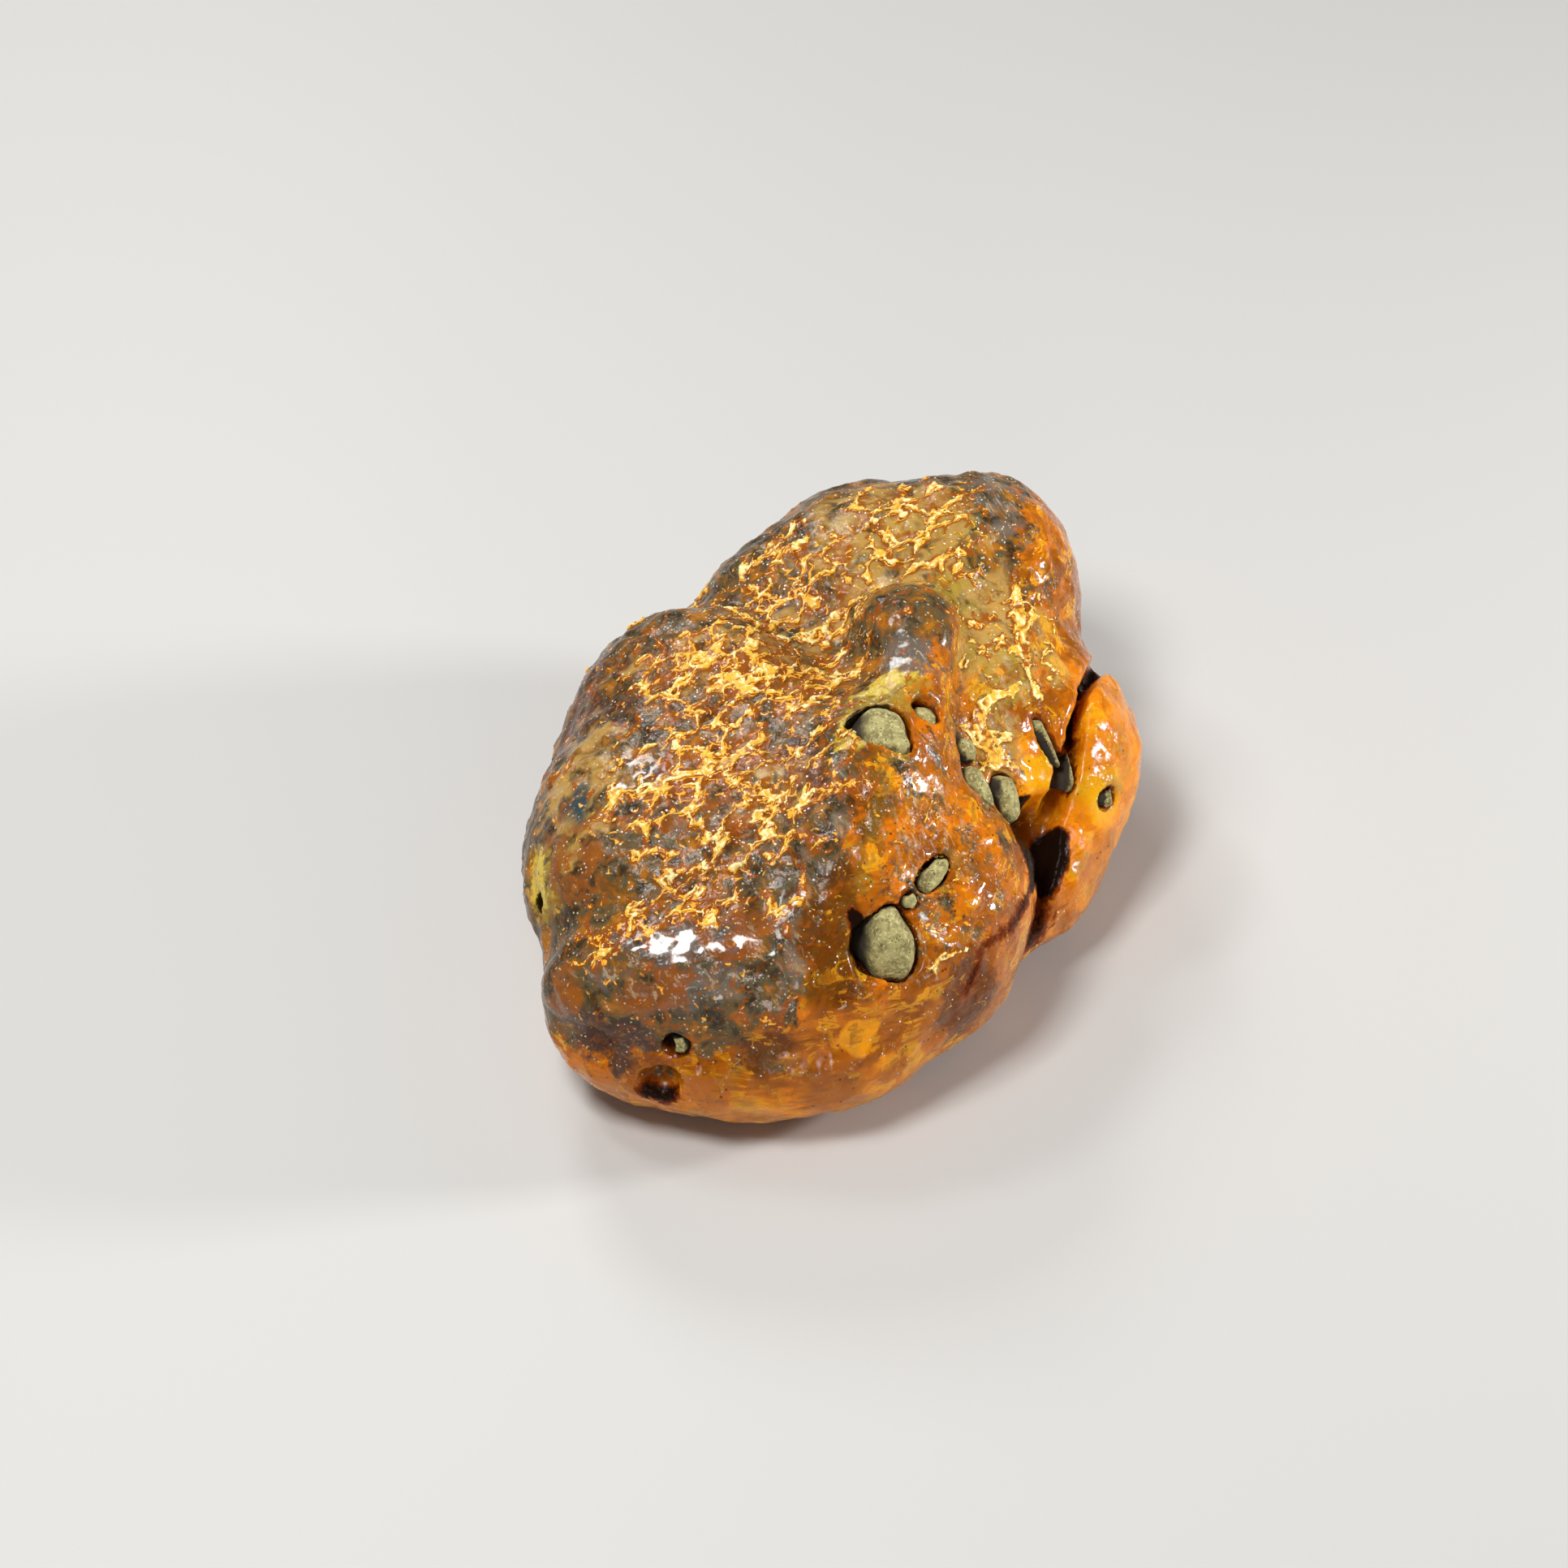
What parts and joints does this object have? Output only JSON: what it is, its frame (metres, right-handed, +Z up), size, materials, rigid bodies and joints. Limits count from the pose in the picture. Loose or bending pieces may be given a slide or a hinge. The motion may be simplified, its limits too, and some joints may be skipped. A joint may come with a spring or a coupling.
{
  "type": "raw amber nugget",
  "caption": "Irregular rounded nugget of raw fossil resin with a flat worn underside, a deep side cleft and sediment left in its pits.",
  "frame": {"origin": "centre of the nugget's box in X and Y, at the worn face that it rests on", "axes": "+Z up out of the worn face, +Y along the nugget's length towards its crown, +X towards the side lobe"},
  "size_m": [0.0547, 0.0663, 0.0307],
  "materials": {
    "amber": "glossy see-through fossil resin under a partly torn dark crust",
    "sediment": "dry grainy grey-green silt"
  },
  "bodies": {
    "root": {"amber_nugget": "amber", "plug_upper": "sediment", "chip_upper": "sediment", "plug_lower": "sediment", "bead": "sediment", "seam": "sediment", "plug_crevice_right": "sediment", "plug_crevice_left": "sediment", "chip_crevice": "sediment", "sliver_shoulder": "sediment", "sliver_cleft": "sediment", "plug_front": "sediment", "chip_left": "sediment", "speck_lobe": "sediment"}
  },
  "joints": []
}
